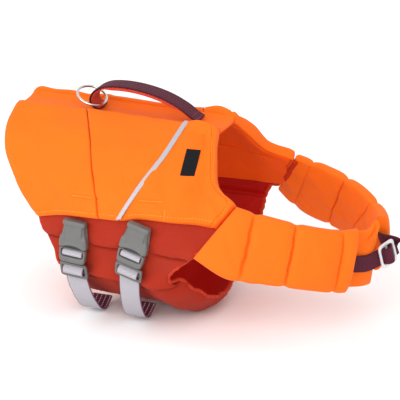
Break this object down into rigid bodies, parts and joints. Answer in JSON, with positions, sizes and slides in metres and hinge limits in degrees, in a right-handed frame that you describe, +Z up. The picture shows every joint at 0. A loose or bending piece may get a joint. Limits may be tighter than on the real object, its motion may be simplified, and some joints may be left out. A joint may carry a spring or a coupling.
{
  "type": "dog life jacket",
  "caption": "Dog life jacket in its worn shape: foam back, belly panel, quilted collar with chest strap, belly buckles, lifting handle and lead ring.",
  "frame": {"origin": "on the wearer's back, at the inner face of the spine strip, midway along the back", "axes": "+X to the head end, +Y to the wearer's left, +Z up"},
  "size_m": [0.4473, 0.2621, 0.2463],
  "materials": {
    "orange_nylon": "plain woven nylon over foam",
    "red_nylon": "plain woven nylon",
    "burgundy_webbing": "ribbed webbing",
    "grey_webbing": "ribbed webbing",
    "red_lining": "folded nylon strip",
    "grey_plastic": "moulded satin",
    "reflective_tape": "reflective tape",
    "black_patch": "matt, blank",
    "steel": "polished"
  },
  "bodies": {
    "garment": {"back_rear_near": "orange_nylon", "back_rear_far": "orange_nylon", "back_middle_near": "orange_nylon", "back_middle_far": "orange_nylon", "back_front_near": "orange_nylon", "back_front_far": "orange_nylon", "spine_strip": "orange_nylon", "side_panel_near": "red_nylon", "side_panel_far": "red_nylon", "belly_panel": "red_nylon", "collar_near": "orange_nylon", "collar_far": "orange_nylon", "chest_pad": "orange_nylon", "handle_webbing": "burgundy_webbing", "handle_lining": "red_lining", "reflective_strip_near": "reflective_tape", "reflective_strip_far": "reflective_tape", "label_patch": "black_patch", "buckle_socket_rear": "grey_plastic", "buckle_plug_rear": "grey_plastic", "belly_slider_rear": "grey_plastic", "belly_strap_rear": "grey_webbing", "buckle_socket_front": "grey_plastic", "buckle_plug_front": "grey_plastic", "belly_slider_front": "grey_plastic", "belly_strap_front": "grey_webbing", "chest_slider": "steel", "chest_strap_near": "burgundy_webbing", "chest_strap_far": "burgundy_webbing"},
    "ring": {"lead_ring": "steel"}
  },
  "joints": [
    {"name": "ring_swing", "type": "hinge", "parent": "garment", "child": "ring", "pos_m": [-0.0425, 0, 0.016], "axis": [0, 1, 0], "range_deg": [-40, 0]}
  ]
}
